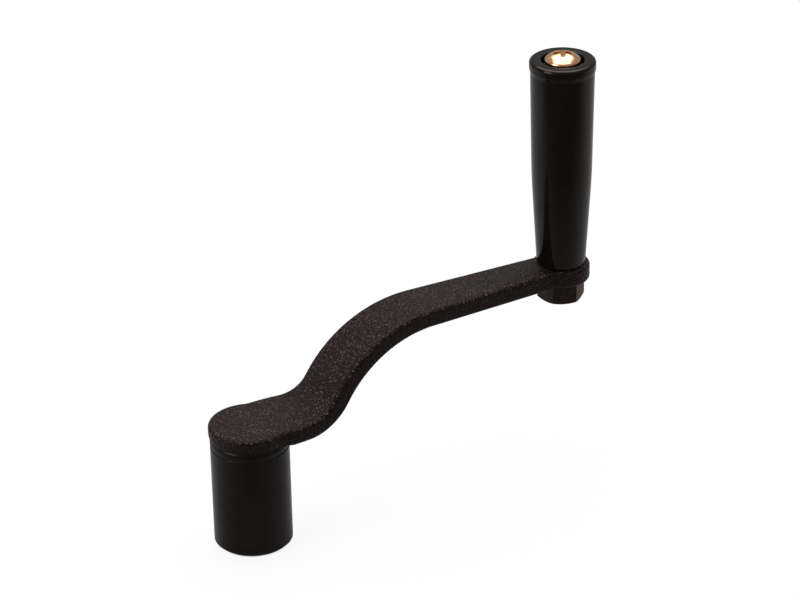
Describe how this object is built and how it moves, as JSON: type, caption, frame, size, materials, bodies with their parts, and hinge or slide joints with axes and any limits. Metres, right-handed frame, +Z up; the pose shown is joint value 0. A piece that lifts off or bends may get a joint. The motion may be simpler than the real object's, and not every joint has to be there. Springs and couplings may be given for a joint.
{
  "type": "crank handle",
  "caption": "Hand crank with a turned hub for a shaft, an S-bent tapered arm and an upright revolving grip on a spindle.",
  "frame": {"origin": "centre of the mouth of the hub's shaft bore, on the hub's lower end face", "axes": "+Z up the hub's axis towards the arm and the grip's free end, +X along the arm from the hub's axis to the grip's axis"},
  "size_m": [0.1445, 0.0268, 0.1469],
  "materials": {
    "textured_black_coat": "fine textured black powder coat",
    "smooth_black_coat": "satin black coat over turned steel",
    "black_oxide_steel": "black oxide, satin",
    "grip_plastic": "glossy black moulded plastic",
    "yellow_zinc": "yellow zinc plate with a warm sheen"
  },
  "bodies": {
    "crank": {"crank_arm": "textured_black_coat", "hub": "smooth_black_coat", "hub_weld": "smooth_black_coat", "set_screw": "black_oxide_steel", "spindle": "black_oxide_steel", "retaining_washer": "yellow_zinc", "retaining_screw": "yellow_zinc"},
    "turning_grip": {"grip": "grip_plastic"}
  },
  "joints": [
    {"name": "grip_spin", "type": "hinge", "parent": "crank", "child": "turning_grip", "pos_m": [0.12, 0, 0.1077], "axis": [0, 0, 1], "continuous": true}
  ]
}
